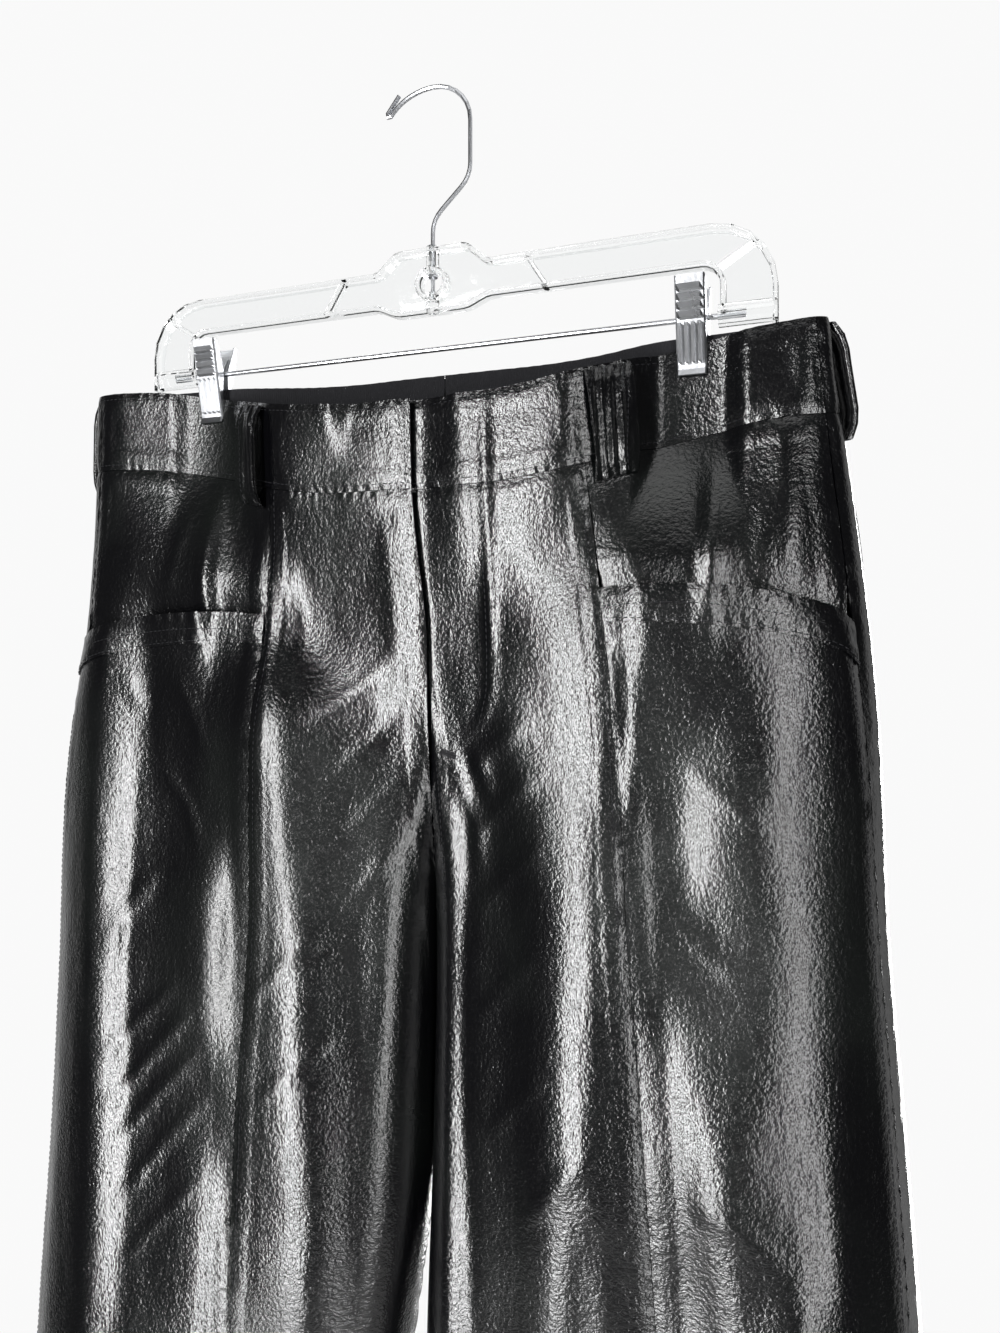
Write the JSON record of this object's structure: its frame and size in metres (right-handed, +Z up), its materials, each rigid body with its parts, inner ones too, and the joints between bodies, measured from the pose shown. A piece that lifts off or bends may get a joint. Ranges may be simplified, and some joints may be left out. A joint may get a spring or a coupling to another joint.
{
  "type": "wide-leg trousers on a clip hanger",
  "caption": "High-waisted wide-leg trousers of black faux leather with belt loops and slanted front pockets, clipped flat by the waistband to a clear hanger.",
  "frame": {"origin": "the inside of the hanger hook's crown, where it rests on what carries it", "axes": "+Z up, along the hanging garment; +X to the wearer's left; -Y out of the garment's front"},
  "size_m": [0.558, 0.0879, 1.2374],
  "materials": {
    "faux_leather": "glossy, crinkled grain",
    "clear_plastic": "clear, glossy",
    "bright_steel": "bright plated"
  },
  "bodies": {
    "root": {"waistband_front_right": "faux_leather", "waistband_front_left": "faux_leather", "waistband_side_right": "faux_leather", "waistband_side_left": "faux_leather", "waistband_back_right": "faux_leather", "waistband_back_left": "faux_leather", "front_centre_right": "faux_leather", "front_centre_left": "faux_leather", "front_side_right": "faux_leather", "front_side_left": "faux_leather", "hip_yoke_right": "faux_leather", "hip_yoke_left": "faux_leather", "pocket_band_right": "faux_leather", "pocket_band_left": "faux_leather", "back_right": "faux_leather", "back_left": "faux_leather", "belt_loop_front_right": "faux_leather", "belt_loop_front_left": "faux_leather", "belt_loop_side_right": "faux_leather", "belt_loop_side_left": "faux_leather", "belt_loop_back": "faux_leather", "hanger_body": "clear_plastic", "hanger_hook": "bright_steel", "hanger_rod": "bright_steel", "clip_front_right": "bright_steel", "clip_front_left": "bright_steel", "clip_rear_right": "bright_steel", "clip_rear_left": "bright_steel", "clip_spring_right": "bright_steel", "clip_spring_left": "bright_steel"}
  },
  "joints": []
}
